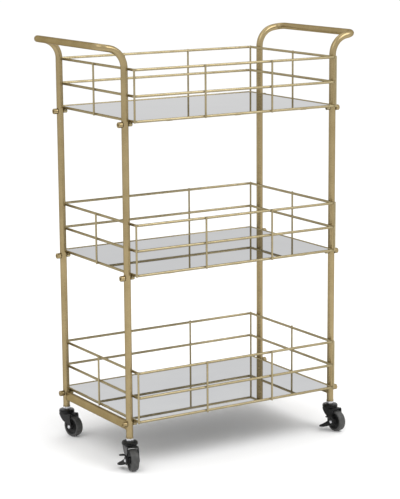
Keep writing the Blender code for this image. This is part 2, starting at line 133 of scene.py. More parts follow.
def bent_path(
    corners: Sequence[Sequence[float]], radii: Sequence[float], steps: int, closed: bool = False
) -> tuple[np.ndarray, np.ndarray]:
    """Centre line of a bent tube or wire.

    Each corner becomes an arc: centre + start * cos(t) + heading * radius * sin(t),
    with t from zero to the angle by which the line turns there.

    Args:
        corners: the sharp corners of the line, in order.
        radii: bend radius at each corner. The two ends of an open line ignore theirs.
        steps: number of steps along each bend.
        closed: whether the line returns to its start.

    Returns:
        The points of the line and its unit tangents, both (n, 3).
    """
    places = np.asarray(corners, float)
    points, tangents = [], []
    last = len(places) - 1
    for index, corner in enumerate(places):
        if not closed and index in (0, last):
            heading = places[1] - places[0] if index == 0 else places[last] - places[last - 1]
            points.append(corner[None])
            tangents.append(unit(heading)[None])
            continue
        before = unit(corner - places[index - 1])
        after = unit(places[(index + 1) % len(places)] - corner)
        turn = math.acos(float(np.clip(before @ after, -1, 1)))
        radius = radii[index]
        inward = unit(after - before)
        centre = corner + inward * radius / math.cos(turn / 2)
        start = corner - before * radius * math.tan(turn / 2) - centre
        t = np.linspace(0, turn, steps + 1)[:, None]
        points.append(centre + start * np.cos(t) + before * radius * np.sin(t))
        tangents.append(before * np.cos(t) - start / radius * np.sin(t))
    return np.concatenate(points), np.concatenate(tangents)


def rectangle_path(
    half_x: float, half_y: float, z: float, radius: float, steps: int
) -> tuple[np.ndarray, np.ndarray]:
    """Rectangle with round corners at one height, anticlockwise: its points and tangents."""
    corners = [(-half_x, -half_y, z), (half_x, -half_y, z), (half_x, half_y, z), (-half_x, half_y, z)]
    return bent_path(corners, [radius] * 4, steps, closed=True)


def tube_grid(
    path: np.ndarray,
    tangents: np.ndarray,
    radius: float | np.ndarray,
    sides: int,
    reference: Sequence[float],
) -> np.ndarray:
    """Round section carried along a path.

    Each ring is path + radius * (cos(a) * normal + sin(a) * binormal), and the
    normal stands across both the tangent and the reference direction.

    Args:
        path: points of the centre line, (n, 3).
        tangents: its unit tangents, (n, 3).
        radius: one radius, or one for each point.
        sides: points round the section.
        reference: a direction that the path never runs along.

    Returns:
        The grid of points, (n, sides, 3).
    """
    normal = unit(np.cross(tangents, np.asarray(reference, float)))
    binormal = np.cross(tangents, normal)
    a = angles(sides)[None, :, None]
    around = np.cos(a) * normal[:, None] + np.sin(a) * binormal[:, None]
    return path[:, None] + np.reshape(radius, (-1, 1, 1)) * around


def turned_grid(profile: Sequence[Sequence[float]], sides: int) -> np.ndarray:
    """Profile of (radius, height) rows turned about Z: (r cos a, r sin a, h)."""
    radius, height = np.asarray(profile, float).T[..., None]
    return rings(radius, height, angles(sides))


def rings(radius: np.ndarray, height: np.ndarray, a: np.ndarray) -> np.ndarray:
    """Points (r cos a, r sin a, h). The radius and the height may differ by row and by angle."""
    across = radius * np.cos(a)
    return np.stack([across, radius * np.sin(a), np.broadcast_to(height, across.shape)], axis=-1)


def rounded_profile(
    profile: Sequence[Sequence[float]], rounding: float, steps: int = 3
) -> list[list[float]]:
    """Open (radius, height) profile with each inner corner cut by a small arc."""
    corners = [(r, 0.0, h) for r, h in profile]
    rows = np.asarray(corners)
    reach = np.linalg.norm(np.diff(rows, axis=0), axis=1)
    radii = [0.0]
    for index in range(1, len(rows) - 1):
        before, after = unit(rows[index] - rows[index - 1]), unit(rows[index + 1] - rows[index])
        half = math.acos(float(np.clip(before @ after, -1, 1))) / 2
        room = ARC_SHARE * min(reach[index - 1], reach[index])
        radii.append(min(rounding, room / max(math.tan(half), WELD_DISTANCE)))
    radii.append(0.0)
    points, _ = bent_path(corners, radii, steps)
    return [[row[0], row[2]] for row in points.tolist()]


def outline(length: float, depth: float, radius: float, steps: int = 6) -> np.ndarray:
    """Rectangle with round corners in two dimensions, anticlockwise, (n, 2)."""
    points, _ = rectangle_path(length / 2, depth / 2, 0.0, radius, steps)
    return points[:, :2]


def loft_grid(
    centres: np.ndarray, widths: np.ndarray, heights: np.ndarray, power: float = 0.5, sides: int = 20
) -> np.ndarray:
    """Superellipse sections along a line that runs mostly in the YZ plane.

    Each section is centre + w * sign(cos) * |cos| ** power along X, and the same
    with the sine along the direction across the line.

    Args:
        centres: points of the line, (n, 3).
        widths: half width along X at each point.
        heights: half thickness across the line at each point.
        power: below one for boxy sections, one for an ellipse.
        sides: points round each section.

    Returns:
        The grid of points, (n, sides, 3).
    """
    run = unit(np.gradient(centres, axis=0) * np.array([0.0, 1.0, 1.0]))
    across = np.stack([np.zeros(len(run)), -run[:, 2], run[:, 1]], axis=-1)
    a = angles(sides, math.pi / sides)
    cos, sin = signed_power(np.cos(a), power), signed_power(np.sin(a), power)
    wide = (widths[:, None] * cos)[..., None] * np.array([1.0, 0.0, 0.0])
    return centres[:, None] + wide + (heights[:, None] * sin)[..., None] * across[:, None]


def ellipsoid_grid(centre: np.ndarray, size: np.ndarray, rows: int = 5, sides: int = 8) -> np.ndarray:
    """Ellipsoid: centre + size * (sin t cos a, sin t sin a, cos t)."""
    t = np.linspace(0, math.pi, rows)[:, None]
    a = angles(sides)[None]
    around = np.stack([np.sin(t) * np.cos(a), np.sin(t) * np.sin(a), np.cos(t) + 0 * a], axis=-1)
    return centre + size * around


def along_x(grid: np.ndarray) -> np.ndarray:
    """A grid turned so that its Z runs along X."""
    return np.stack([grid[..., 2], grid[..., 0], grid[..., 1]], axis=-1)


@dataclass
class Draft:
    """Points and faces of a piece while it is drawn."""

    points: list[np.ndarray] = field(default_factory=list)
    faces: list[list[int]] = field(default_factory=list)
    count: int = 0

    def surface(
        self, grid: np.ndarray, ring: bool = False, round_: bool = True, caps: bool = False
    ) -> "Draft":
        """Add a grid of points as quads.

        Args:
            grid: points, (rows, columns, 3).
            ring: whether the last row joins the first.
            round_: whether the last column joins the first.
            caps: whether the first and last rows are filled with a flat face.

        Returns:
            This draft.
        """
        rows, columns = grid.shape[:2]
        index = np.arange(rows * columns).reshape(rows, columns) + self.count
        first, last = index[0, ::-1].tolist(), index[-1].tolist()
        if round_:
            index = np.column_stack([index, index[:, 0]])
        if ring:
            index = np.vstack([index, index[:1]])
        quads = np.stack([index[:-1, :-1], index[:-1, 1:], index[1:, 1:], index[1:, :-1]], axis=-1)
        self.faces += quads.reshape(-1, 4).tolist()
        if caps:
            self.faces += [first, last]
        self.points.append(grid.reshape(-1, 3))
        self.count += rows * columns
        return self

    def mesh(self, name: str, place: "Place | None" = None) -> bpy.types.Mesh:
        """Weld the seams and poles, turn the faces out and shade it smooth.

        Args:
            name: the mesh's name.
            place: where the drawing stands, or None if it is already there.

        Returns:
            The finished mesh.
        """
        points = np.concatenate(self.points)
        if place is not None:
            points = place.move(points)
        made = bpy.data.meshes.new(name)
        made.from_pydata(points.tolist(), [], self.faces)
        bm = bmesh.new()
        bm.from_mesh(made)
        bmesh.ops.remove_doubles(bm, verts=bm.verts, dist=WELD_DISTANCE)
        bmesh.ops.recalc_face_normals(bm, faces=bm.faces)
        bm.to_mesh(made)
        bm.free()
        made.shade_smooth()
        made.set_sharp_from_angle(angle=SMOOTH_ANGLE)
        return made


@dataclass(frozen=True)
class Place:
    """A turn about Z followed by a shift."""

    shift: tuple[float, float, float] = (0.0, 0.0, 0.0)
    turn: float = 0.0

    def move(self, points: np.ndarray) -> np.ndarray:
        """Points turned about Z and shifted."""
        cos, sin = math.cos(self.turn), math.sin(self.turn)
        matrix = np.array([[cos, -sin, 0.0], [sin, cos, 0.0], [0.0, 0.0, 1.0]])
        return points @ matrix.T + np.asarray(self.shift)


# ---------------------------------------------------------------- finishes


def linear(code: str) -> tuple[float, float, float, float]:
    """Linear RGBA of an sRGB hex colour such as "c0a060"."""
    srgb = np.array([int(code[i : i + 2], 16) for i in (0, 2, 4)]) / 255
    low, high = srgb / 12.92, ((srgb + 0.055) / 1.055) ** 2.4
    return (*np.where(srgb <= 0.04045, low, high).tolist(), 1.0)


def add_node(
    tree: bpy.types.NodeTree,
    kind: str,
    settings: dict[str, Any] | None = None,
    links: dict[str, bpy.types.NodeSocket] | None = None,
) -> bpy.types.Node:
    """Add one node to a tree.

    Args:
        tree: the node tree.
        kind: the node's type name.
        settings: values by input name, or by property name where no input has it.
        links: sources by input name.

    Returns:
        The new node.
    """
    node = tree.nodes.new(kind)
    for name, value in (settings or {}).items():
        if name in node.inputs:
            node.inputs[name].default_value = value
        else:
            setattr(node, name, value)
    for name, source in (links or {}).items():
        tree.links.new(source, node.inputs[name])
    return node


def add_noise(
    tree: bpy.types.NodeTree, place: bpy.types.NodeSocket, size_mm: float, detail: float, roughness: float
) -> bpy.types.NodeSocket:
    """Add a noise texture whose lumps have a real size.

    Args:
        tree: the node tree.
        place: the socket that gives the place on the piece.
        size_mm: size of a lump in millimetres.
        detail: how many times smaller noise is laid over it.
        roughness: how strong the smaller noise is.

    Returns:
        The socket with its value.
    """
    settings = {"Scale": 1 / (size_mm * MM), "Detail": detail, "Roughness": roughness}
    return add_node(tree, "ShaderNodeTexNoise", settings, {"Vector": place}).outputs["Fac"]


def add_range(
    tree: bpy.types.NodeTree,
    value: bpy.types.NodeSocket,
    source: tuple[float, float],
    target: tuple[float, float],
) -> bpy.types.NodeSocket:
    """Add a node that maps one range of a value to another, and return its result."""
    settings = {"From Min": source[0], "From Max": source[1], "To Min": target[0], "To Max": target[1]}
    return add_node(tree, "ShaderNodeMapRange", settings, {"Value": value}).outputs["Result"]


@dataclass(frozen=True)
class Finish:
    """A finish with cloudy colour, uneven gloss and a fine relief.

    The cloud is a slow variation over the whole piece, and the grain is the
    texture of the surface itself. Both sizes are real ones. Gloss runs between
    two roughnesses, edge tints what glances off the piece, and dust is the colour
    of a thin film in small patches, where the finish has any.
    """

    name: str
    slot: str
    light: str
    dark: str
    metallic: float
    roughness: tuple[float, float]
    cloud_mm: float
    grain_mm: float
    relief_mm: float
    coat: float = 0.0
    coat_roughness: float = 0.2
    specular: float = 0.5
    edge: str = "ffffff"
    dust: str = ""
    dust_patch_mm: float = 7.0
    dust_noise: tuple[float, float] = (0.52, 0.75)
    most_dust: float = 0.35

    def build(self) -> bpy.types.Material:
        """Make the material with its nodes."""
        made = bpy.data.materials.new(self.name)
        made.use_nodes = True
        tree = made.node_tree
        shader = tree.nodes["Principled BSDF"]
        shader.inputs["Metallic"].default_value = self.metallic
        shader.inputs["Specular IOR Level"].default_value = self.specular
        shader.inputs["Specular Tint"].default_value = linear(self.edge)
        shader.inputs["Coat Weight"].default_value = self.coat
        shader.inputs["Coat Roughness"].default_value = self.coat_roughness
        place = add_node(tree, "ShaderNodeTexCoord").outputs["Object"]
        cloud = add_noise(tree, place, self.cloud_mm, detail=3.0, roughness=0.55)
        grain = add_noise(tree, place, self.grain_mm, detail=2.0, roughness=0.6)
        ramp = add_node(tree, "ShaderNodeValToRGB", links={"Fac": cloud})
        stops = zip(ramp.color_ramp.elements, (NOISE_LOW, NOISE_HIGH), (self.dark, self.light))
        for stop, position, code in stops:
            stop.position = position
            stop.color = linear(code)
        gloss = add_range(tree, grain, (NOISE_LOW, NOISE_HIGH), self.roughness)
        relief = add_node(
            tree,
            "ShaderNodeBump",
            {"Strength": 1.0, "Distance": self.relief_mm * MM},
            {"Height": grain},
        )
        tree.links.new(self.laid_dust(tree, place, ramp.outputs["Color"]), shader.inputs["Base Color"])
        tree.links.new(gloss, shader.inputs["Roughness"])
        tree.links.new(relief.outputs["Normal"], shader.inputs["Normal"])
        return made

    def laid_dust(
        self, tree: bpy.types.NodeTree, place: bpy.types.NodeSocket, colour: bpy.types.NodeSocket
    ) -> bpy.types.NodeSocket:
        """Lay the film of dust over the colour.

        Args:
            tree: the node tree.
            place: the socket that gives the place on the piece.
            colour: the socket that gives the clean colour.

        Returns:
            The socket with the final colour. Without dust it is the clean one.
        """
        if not self.dust:
            return colour
        patch = add_noise(tree, place, self.dust_patch_mm, detail=5.0, roughness=0.7)
        amount = add_range(tree, patch, self.dust_noise, (0.0, self.most_dust))
        film = add_node(tree, "ShaderNodeMix", {"data_type": "RGBA"}, {"Factor": amount})
        # Inputs 6 and 7 and output 2 of the mix are its colours. Its other sockets share their names.
        tree.links.new(colour, film.inputs[6])
        film.inputs[7].default_value = linear(self.dust)
        return film.outputs[2]


# Sprayed metallic lacquer on steel: flakes of bronze powder give a soft, slightly
# grainy glow, warm in the light and olive brown in the shade.
CHAMPAGNE_LACQUER = Finish(
    name="champagne_gold_lacquer",
    slot="champagne_gold",
    light="a1906b",
    dark="93825e",
    metallic=0.88,
    roughness=(0.22, 0.33),
    cloud_mm=45.0,
    grain_mm=0.9,
    relief_mm=0.012,
    coat=0.15,
    coat_roughness=0.25,
    edge="8f8160",
)
# The same lacquer on drawn wire. It lies thinner over the drawing marks, so the
# wire looks paler and a little greyer than the tube.
CHAMPAGNE_WIRE = replace(
    CHAMPAGNE_LACQUER,
    name="champagne_gold_lacquered_wire",
    light="a59877",
    dark="958867",
    metallic=0.86,
    cloud_mm=30.0,
    grain_mm=0.7,
    relief_mm=0.010,
    edge="8a8068",
)
# Silvered float glass: near-perfect gloss, a cool grey tint and a faint haze.
SILVERED_GLASS = Finish(
    name="silvered_float_glass",
    slot="mirror",
    light="dbdcdd",
    dark="d7d8da",
    metallic=1.0,
    roughness=(0.010, 0.030),
    cloud_mm=90.0,
    grain_mm=6.0,
    relief_mm=0.0005,
    edge="d5d5d5",
)
# Paint over the silver on the mirror's back: flat grey, a little uneven from the roller.
BACKING_PAINT = Finish(
    name="mirror_backing_paint",
    slot="mirror",
    light="8b8d8f",
    dark="818385",
    metallic=0.0,
    roughness=(0.55, 0.70),
    cloud_mm=12.0,
    grain_mm=1.5,
    relief_mm=0.02,
)
# Black coat on pressed steel: glossy with a light orange peel.
BLACK_STEEL = Finish(
    name="black_coated_pressed_steel",
    slot="black_steel",
    light="161616",
    dark="0e0e0e",
    metallic=0.0,
    roughness=(0.24, 0.36),
    cloud_mm=8.0,
    grain_mm=1.1,
    relief_mm=0.02,
    specular=0.26,
)
# Nylon from a spark-eroded mould: even, fine matt grain.
MOULDED_NYLON = Finish(
    name="moulded_black_nylon",
    slot="black_nylon",
    light="181818",
    dark="101010",
    metallic=0.0,
    roughness=(0.34, 0.48),
    cloud_mm=6.0,
    grain_mm=0.5,
    relief_mm=0.02,
    specular=0.22,
)
# Tread rubber: matt charcoal with a dry bloom from rolling.
TREAD_RUBBER = Finish(
    name="black_tread_rubber",
    slot="black_rubber",
    light="434342",
    dark="363635",
    metallic=0.0,
    roughness=(0.38, 0.52),
    cloud_mm=9.0,
    grain_mm=0.8,
    relief_mm=0.03,
    specular=0.4,
    dust="5e5d5a",
)
# Bright zinc plate with a thin clear passivation: cool silver, slightly cloudy.
ZINC_PLATE = Finish(
    name="bright_zinc_plate",
    slot="zinc",
    light="d6d6d9",
    dark="bfbfc3",
    metallic=1.0,
    roughness=(0.18, 0.34),
    cloud_mm=3.0,
    grain_mm=0.7,
    relief_mm=0.008,
)
# Ground and polished bearing steel.
POLISHED_STEEL = Finish(
    name="polished_bearing_steel",
    slot="bearing_steel",
    light="c9c9ca",
    dark="b4b4b6",
    metallic=1.0,
    roughness=(0.10, 0.20),
    cloud_mm=4.0,
    grain_mm=0.5,
    relief_mm=0.003,
)
# Matt paper under the cart, nearly white.
STUDIO_PAPER = Finish(
    name="pale_studio_paper",
    slot="",
    light="fbfbfb",
    dark="f8f8f8",
    metallic=0.0,
    roughness=(0.85, 0.95),
    cloud_mm=900.0,
    grain_mm=8.0,
    relief_mm=0.02,
    specular=0.1,
)

_built: dict[str, bpy.types.Material] = {}


def material(finish: Finish) -> bpy.types.Material:
    """The material of a finish, made on first use."""
    if finish.name not in _built:
        _built[finish.name] = finish.build()
    return _built[finish.name]


def make_piece(
    name: str, mesh: bpy.types.Mesh, finish: Finish, body: str, nodes: Sequence[str]
) -> bpy.types.Object:
    """Put a finished mesh in the scene in place of its CAD nodes.

    Args:
        name: the piece's name.
        mesh: its mesh, already in place.
        finish: its finish.
        body: the CAD body that it moves with.
        nodes: the CAD nodes that it stands for.

    Returns:
        The new object.
    """
    made = bpy.data.objects.new(name, mesh)
    bpy.context.scene.collection.objects.link(made)
    mesh.materials.append(material(finish))
    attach(made, body)
    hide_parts(*nodes)
    LOG.info("%s on %s: %d faces", name, body, len(mesh.polygons))
    return made


# ---------------------------------------------------------------- the cart


@dataclass
class EndFrame:
    """One end of the cart: a tube bent from foot to handle to foot, and its cross bar."""

    side: Side
    tube_radius: float = 0.0079
    wall: float = 0.0012
    handle_slope: float = math.radians(10)
    post_bend: float = 0.045
    handle_bend: float = 0.022
    seam_tilt: float = math.radians(40)
    bar_rise: float = 0.0245
    bar_width: float = 0.010
    bar_height: float = 0.0196
    bar_edge: float = 0.0016
    bar_overlap: float = 0.0006
    bead: float = 0.0011
    bead_sink: float = 0.0002
    bead_ripple: float = 0.10
    ripple_step: float = 3.0

    def __post_init__(self) -> None:
        """Read the frame's place from its CAD node."""
        self.label = self.side.name.lower()
        self.node = f"{self.label}_end_frame"
        low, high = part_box(self.node)
        sign = self.side.value
        outer, inner = (low.x, high.x) if sign < 0 else (high.x, low.x)
        self.handle_x = outer - sign * self.tube_radius
        self.post_x = inner + sign * self.tube_radius
        self.post_y = high.y - self.tube_radius
        self.foot_z = low.z
        self.handle_z = high.z - self.tube_radius

    def build(self) -> None:
        """Draw the frame and put it in the scene."""
        draft = Draft()
        self.draw_tube(draft)
        self.draw_cross_bar(draft)
        name = f"{self.label}_bent_frame"
        make_piece(name, draft.mesh(name), CHAMPAGNE_LACQUER, "cart", [self.node])

    def draw_tube(self, draft: Draft) -> None:
        """Bent tube from the front foot over the handle to the back foot, open at its feet."""
        bend_z = self.handle_z - abs(self.handle_x - self.post_x) * math.tan(self.handle_slope)
        front = [
            (self.post_x, -self.post_y, self.foot_z),
            (self.post_x, -self.post_y, bend_z),
            (self.handle_x, -self.post_y, self.handle_z),
        ]
        back = [(x, -y, z) for x, y, z in reversed(front)]
        radii = [0.0, self.post_bend, self.handle_bend]
        path, tangents = bent_path(front + back, radii + radii[::-1], steps=18)
        reference = (self.side.value * math.cos(self.seam_tilt), 0.0, -math.sin(self.seam_tilt))
        outside, inside = (
            tube_grid(path, tangents, radius, sides=36, reference=reference)
            for radius in (self.tube_radius, self.tube_radius - self.wall)
        )
        draft.surface(np.concatenate([outside, inside[::-1]]), ring=True)

    def draw_cross_bar(self, draft: Draft) -> None:
        """Rectangular bar between the posts, cut to a saddle at each end, with its weld beads.

        The saddle lies where the post's surface is: y = post_y - sqrt(R^2 - x^2).
        """
        section = outline(self.bar_width, self.bar_height, self.bar_edge, steps=5)
        x = section[:, 0]
        meet = self.post_y - np.sqrt(np.maximum(self.tube_radius**2 - x**2, 0.0))
        ring = np.stack([self.post_x + x, 0 * x, self.foot_z + self.bar_rise + section[:, 1]], axis=-1)
        rows = []
        for share in (-1.0, -0.5, 0.0, 0.5, 1.0):
            row = ring.copy()
            row[:, 1] = share * (meet + self.bar_overlap)
            rows.append(row)
        draft.surface(np.stack(rows))
        ripple = self.bead * (1 + self.bead_ripple * np.sin(self.ripple_step * np.arange(len(x))))
        for sign in (-1, 1):
            bead = ring.copy()
            bead[:, 1] = sign * (meet - self.bead_sink)
            heading = unit(np.roll(bead, -1, axis=0) - np.roll(bead, 1, axis=0))
            draft.surface(tube_grid(bead, heading, ripple, sides=10, reference=(0.0, 1.0, 0.0)), ring=True)


@dataclass
class Basket:
    """One welded wire basket with its mirror panel and the bolts at its corners.

    Contact is how far two welded wires sink into each other. A weld's shape is its half
    size along the wire, towards the upright and upward, as shares of the weld's own size.
    The other welds are half sizes. The flat bars stop a little short of the wires' middles.
    """

    tier: Tier
    rail: float = 0.003
    rail_bend: float = 0.006
    upright: float = 0.00225
    upright_chamfer: float = 0.0005
    middle_rise: float = 0.0557
    contact: float = 0.0002
    weld: float = 0.0013
    weld_shape: tuple[float, float, float] = (2.4, 0.8, 2.0)
    bar_width: float = 0.016
    bar_thickness: float = 0.002
    bar_edge: float = 0.0007
    bar_places: tuple[float, ...] = (-0.18, 0.0, 0.18)
    bar_short: float = 0.0005
    bar_weld: tuple[float, float, float] = (0.006, 0.0016, 0.0012)
    bar_weld_inset: float = 0.0022
    glass_gap: float = 0.0002
    glass_corner: float = 0.004
    glass_seam: float = 0.0005
    boss_radius: float = 0.0048
    boss_bore: float = 0.0031
    boss_chamfer: float = 0.0006
    boss_length: float = 0.009
    boss_gap: float = 0.0003
    boss_weld: tuple[float, float, float] = (0.0024, 0.0018, 0.0015)
    boss_weld_drop: float = 0.0004
    boss_weld_share: float = 0.75
    head_radius: float = 0.0065
    head_height: float = 0.0095
    head_fillet: float = 0.0004
    head_crown: float = 0.0012
    shank_radius: float = 0.003
    shank_chamfer: float = 0.0006
    key_apothem: float = 0.0026
    key_depth: float = 0.0040
    key_lead: float = 0.0002
    key_mouth: float = 1.06

    def __post_init__(self) -> None:
        """Read the basket's place from its CAD nodes."""
        self.name = self.tier.value
        low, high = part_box(f"{self.name}_top_ring")
        self.length = high.x - low.x - 2 * self.rail
        self.depth = high.y - low.y - 2 * self.rail
        self.top_z = (low.z + high.z) / 2
        _, floor_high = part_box(f"{self.name}_floor_ring")
        self.base_z = floor_high.z - self.rail
        self.panel_low, self.panel_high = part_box(f"{self.name}_mirror_panel")

    def build(self) -> None:
        """Draw the basket's pieces and put them in the scene."""
        for stem, draft, finish, node in (
            ("base_wires", self.draw_base(), CHAMPAGNE_WIRE, "floor_ring"),
            ("cage_wires", self.draw_cage(), CHAMPAGNE_WIRE, "cage_ring"),
            ("rim_wire", self.draw_rim(), CHAMPAGNE_WIRE, "top_ring"),
            ("mirror", self.draw_mirror(), SILVERED_GLASS, "mirror_panel"),
        ):
            name = f"{self.name}_{stem}"
            made = make_piece(name, draft.mesh(name), finish, "cart", [f"{self.name}_{node}"])
            if finish is SILVERED_GLASS:
                self.paint_back(made.data)
        for corner in Corner:
            self.build_bolt(corner)

    def ring(self, draft: Draft, z: float) -> None:
        """Add one wire bent to a rectangle with round corners and butt-welded shut."""
        path, tangents = rectangle_path(self.length / 2, self.depth / 2, z, self.rail_bend, steps=8)
        draft.surface(tube_grid(path, tangents, self.rail, sides=20, reference=UP), ring=True)

    def upright_places(self) -> np.ndarray:
        """Plan places of the ten uprights and the outward direction at each, (10, 4)."""
        x, y = self.length / 2, self.depth / 2
        out = self.rail + self.upright - self.contact
        corner = (self.rail_bend + out) / math.sqrt(2) - self.rail_bend
        slant = math.sqrt(0.5)
        pairs = [(sx, sy) for sx in (-1, 1) for sy in (-1, 1)]
        rows = [(sx * (x + corner), sy * (y + corner), sx * slant, sy * slant) for sx, sy in pairs]
        rows += [(sx * self.length / 6, sy * (y + out), 0.0, float(sy)) for sx, sy in pairs]
        rows += [(sx * (x + out), 0.0, float(sx), 0.0) for sx in (-1, 1)]
        return np.array(rows)

    def draw_rim(self) -> Draft:
        """Top wire of the basket."""
        draft = Draft()
        self.ring(draft, self.top_z)
        return draft

    def draw_cage(self) -> Draft:
        """Middle wire, the ten uprights and a weld where each upright crosses a wire."""
        draft = Draft()
        middle_z = self.base_z + self.middle_rise
        self.ring(draft, middle_z)
        low, high = self.base_z - self.rail, self.top_z + self.rail
        chamfer = self.upright_chamfer
        profile = [
            (self.upright - chamfer, low),
            (self.upright, low + chamfer),
            (self.upright, high - chamfer),
            (self.upright - chamfer, high),
        ]
        post = turned_grid(profile, sides=14)
        inward = self.upright - self.contact
        for x, y, out_x, out_y in self.upright_places():
            draft.surface(post + np.array([x, y, 0.0]), caps=True)
            for z in (self.base_z, middle_z, self.top_z):
                centre = np.array([x - out_x * inward, y - out_y * inward, z])
                draft.surface(ellipsoid_grid(centre, self.weld_size(out_x, out_y)))
        return draft

    def weld_size(self, out_x: float, out_y: float) -> np.ndarray:
        """Half sizes of a weld: wide along the wire, thin towards the upright."""
        along, across, tall = (share * self.weld for share in self.weld_shape)
        wide_x = abs(out_y) * along + abs(out_x) * across
        wide_y = abs(out_x) * along + abs(out_y) * across
        return np.array([wide_x, wide_y, tall])

    def draw_base(self) -> Draft:
        """Bottom wire, the flat bars under the glass and the threaded bosses for the bolts."""
        draft = Draft()
        self.ring(draft, self.base_z)
        for x in self.bar_places:
            self.draw_flat_bar(draft, x)
        for corner in Corner:
            self.draw_boss(draft, corner)
        return draft

    def draw_flat_bar(self, draft: Draft, x: float) -> None:
        """One flat bar from wire to wire just under the glass, with a weld at each end."""
        section = outline(self.bar_width, self.bar_thickness, self.bar_edge, steps=3)
        bar_top = self.panel_low.z - self.glass_gap
        end_y, weld_y = self.depth / 2 - self.bar_short, self.depth / 2 - self.bar_weld_inset
        rows = []
        for share in (-1, 1):
            z = bar_top - self.bar_thickness / 2 + section[:, 1]
            rows.append(np.stack([x + section[:, 0], np.full(len(section), share * end_y), z], axis=-1))
        draft.surface(np.stack(rows), caps=True)
        for share in (-1, 1):
            centre = np.array([x, share * weld_y, bar_top - self.contact])
            draft.surface(ellipsoid_grid(centre, np.array(self.bar_weld)))

    def draw_boss(self, draft: Draft, corner: Corner) -> None:
        """Threaded barrel that takes a corner's bolt, welded under the end wire."""
        sx, _ = corner.value
        low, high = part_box(f"{self.name}_{corner.label}_bolt")
        y, z = (low.y + high.y) / 2, (low.z + high.z) / 2
        post_low, post_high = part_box(f"{'left' if sx < 0 else 'right'}_end_frame")
        face = post_high.x if sx < 0 else post_low.x
        start = face - sx * self.boss_gap
        end = start - sx * self.boss_length
        mouth, chamfer = self.boss_radius - self.boss_chamfer, sx * self.boss_chamfer
        profile = [
            (self.boss_bore, start),
            (mouth, start),
            (self.boss_radius, start - chamfer),
            (self.boss_radius, end + chamfer),
            (mouth, end),
            (self.boss_bore, end),
        ]
        draft.surface(along_x(turned_grid(profile, sides=28)) + np.array([0.0, y, z]), ring=True)
        weld_z = self.base_z - self.rail - self.boss_weld_drop
        for sign in (-1, 1):
            weld_y = y + sign * self.boss_weld_share * self.boss_radius
            centre = np.array([sx * self.length / 2, weld_y, weld_z])
            draft.surface(ellipsoid_grid(centre, np.array(self.boss_weld)))

    def draw_mirror(self) -> Draft:
        """Glass panel with seamed edges: the outline drawn in by a small step at top and bottom."""
        low, high, seam = self.panel_low, self.panel_high, self.glass_seam
        rows = []
        for inset, z in ((seam, low.z), (0.0, low.z + seam), (0.0, high.z - seam), (seam, high.z)):
            length, depth = high.x - low.x - 2 * inset, high.y - low.y - 2 * inset
            edge = outline(length, depth, self.glass_corner - inset)
            rows.append(np.column_stack([edge, np.full(len(edge), z)]))
        return Draft().surface(np.stack(rows), caps=True)

    def paint_back(self, mesh: bpy.types.Mesh) -> None:
        """Give the underside of the mirror its backing paint."""
        mesh.materials.append(material(BACKING_PAINT))
        for face in mesh.polygons:
            face.material_index = int(face.normal.z < -0.5)

    def build_bolt(self, corner: Corner) -> None:
        """Cap screw with a tall round head and a hexagonal socket, through the post into the boss."""
        sx, _ = corner.value
        low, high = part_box(f"{self.name}_{corner.label}_bolt")
        y, z = (low.y + high.y) / 2, (low.z + high.z) / 2
        tip, top = (-high.x, -low.x) if sx < 0 else (low.x, high.x)
        under = top - self.head_height
        rim, fillet, crown = self.head_radius, self.head_fillet, self.head_crown
        profile = [
            (0.0, tip),
            (self.shank_radius - self.shank_chamfer, tip),
            (self.shank_radius, tip + self.shank_chamfer),
            (self.shank_radius, under),
            (rim - fillet, under),
            (rim, under + fillet),
            (rim, top - crown),
            (rim - crown / 6, top - crown / 2),
            (rim - crown / 2, top - crown / 6),
            (rim - crown, top),
        ]
        a = angles(36)
        socket = hexagon(self.key_apothem, a)
        radii = np.stack([self.key_mouth * socket, socket, socket, 0 * socket])
        depths = np.array([0.0, self.key_lead, self.key_depth - self.key_lead, self.key_depth])
        grid = np.concatenate([turned_grid(profile, len(a)), rings(radii, top - depths[:, None], a)])
        drawn = along_x(grid) * np.array([sx, 1.0, 1.0]) + np.array([0.0, y, z])
        name = f"{self.name}_{corner.label}_screw"
        mesh = Draft().surface(drawn).mesh(name)
        make_piece(name, mesh, CHAMPAGNE_LACQUER, "cart", [f"{self.name}_{corner.label}_bolt"])


# Sections of a caster's turned parts, in metres. Each row is a radius, then a distance along
# the part's own line: up from the underside of the race, out from a fork leg's face, in from
# the end of the axle, out from the middle of the wheel, and out from the brake's inner face.
RACE_SECTION = (
    (0.0045, 0.0), (0.0152, 0.0), (0.0162, -0.0018), (0.0176, -0.0018), (0.0180, -0.0006), (0.0174, 0.0004),
    (0.0158, 0.0008), (0.0150, 0.0014), (0.0128, 0.0019), (0.0100, 0.0021), (0.0045, 0.0021),
)
LEG_BOSS_SECTION = ((0.0034, -0.0006), (0.0068, -0.0006), (0.0064, 0.0), (0.0060, 0.00018), (0.0034, 0.00018))
AXLE_HEAD_SECTION = (
    (0.0, 0.0005), (0.0012, 0.0003), (0.0018, 0.0), (0.0029, 0.0003),
    (0.0038, 0.0011), (0.0041, 0.0019), (0.0040, 0.0022), (0.0030, 0.0022),
)
HUB_SECTION = (
    (0.0033, 0.0114), (0.0066, 0.0114), (0.0072, 0.0108), (0.0080, 0.0070), (0.0092, 0.0064),
    (0.0118, 0.0064), (0.0122, 0.0070), (0.0134, 0.0070), (0.0138, 0.0064), (0.0160, 0.0064),
    (0.0170, 0.0068), (0.0174, 0.0080), (0.0182, 0.0083), (0.0194, 0.0083),
)
SHOULDER_SECTION = ((0.0197, 0.0082), (0.0215, 0.0088), (0.0228, 0.0090), (0.0237, 0.0086), (0.0242, 0.0079))
BRAKE_THICKNESS = 0.0030
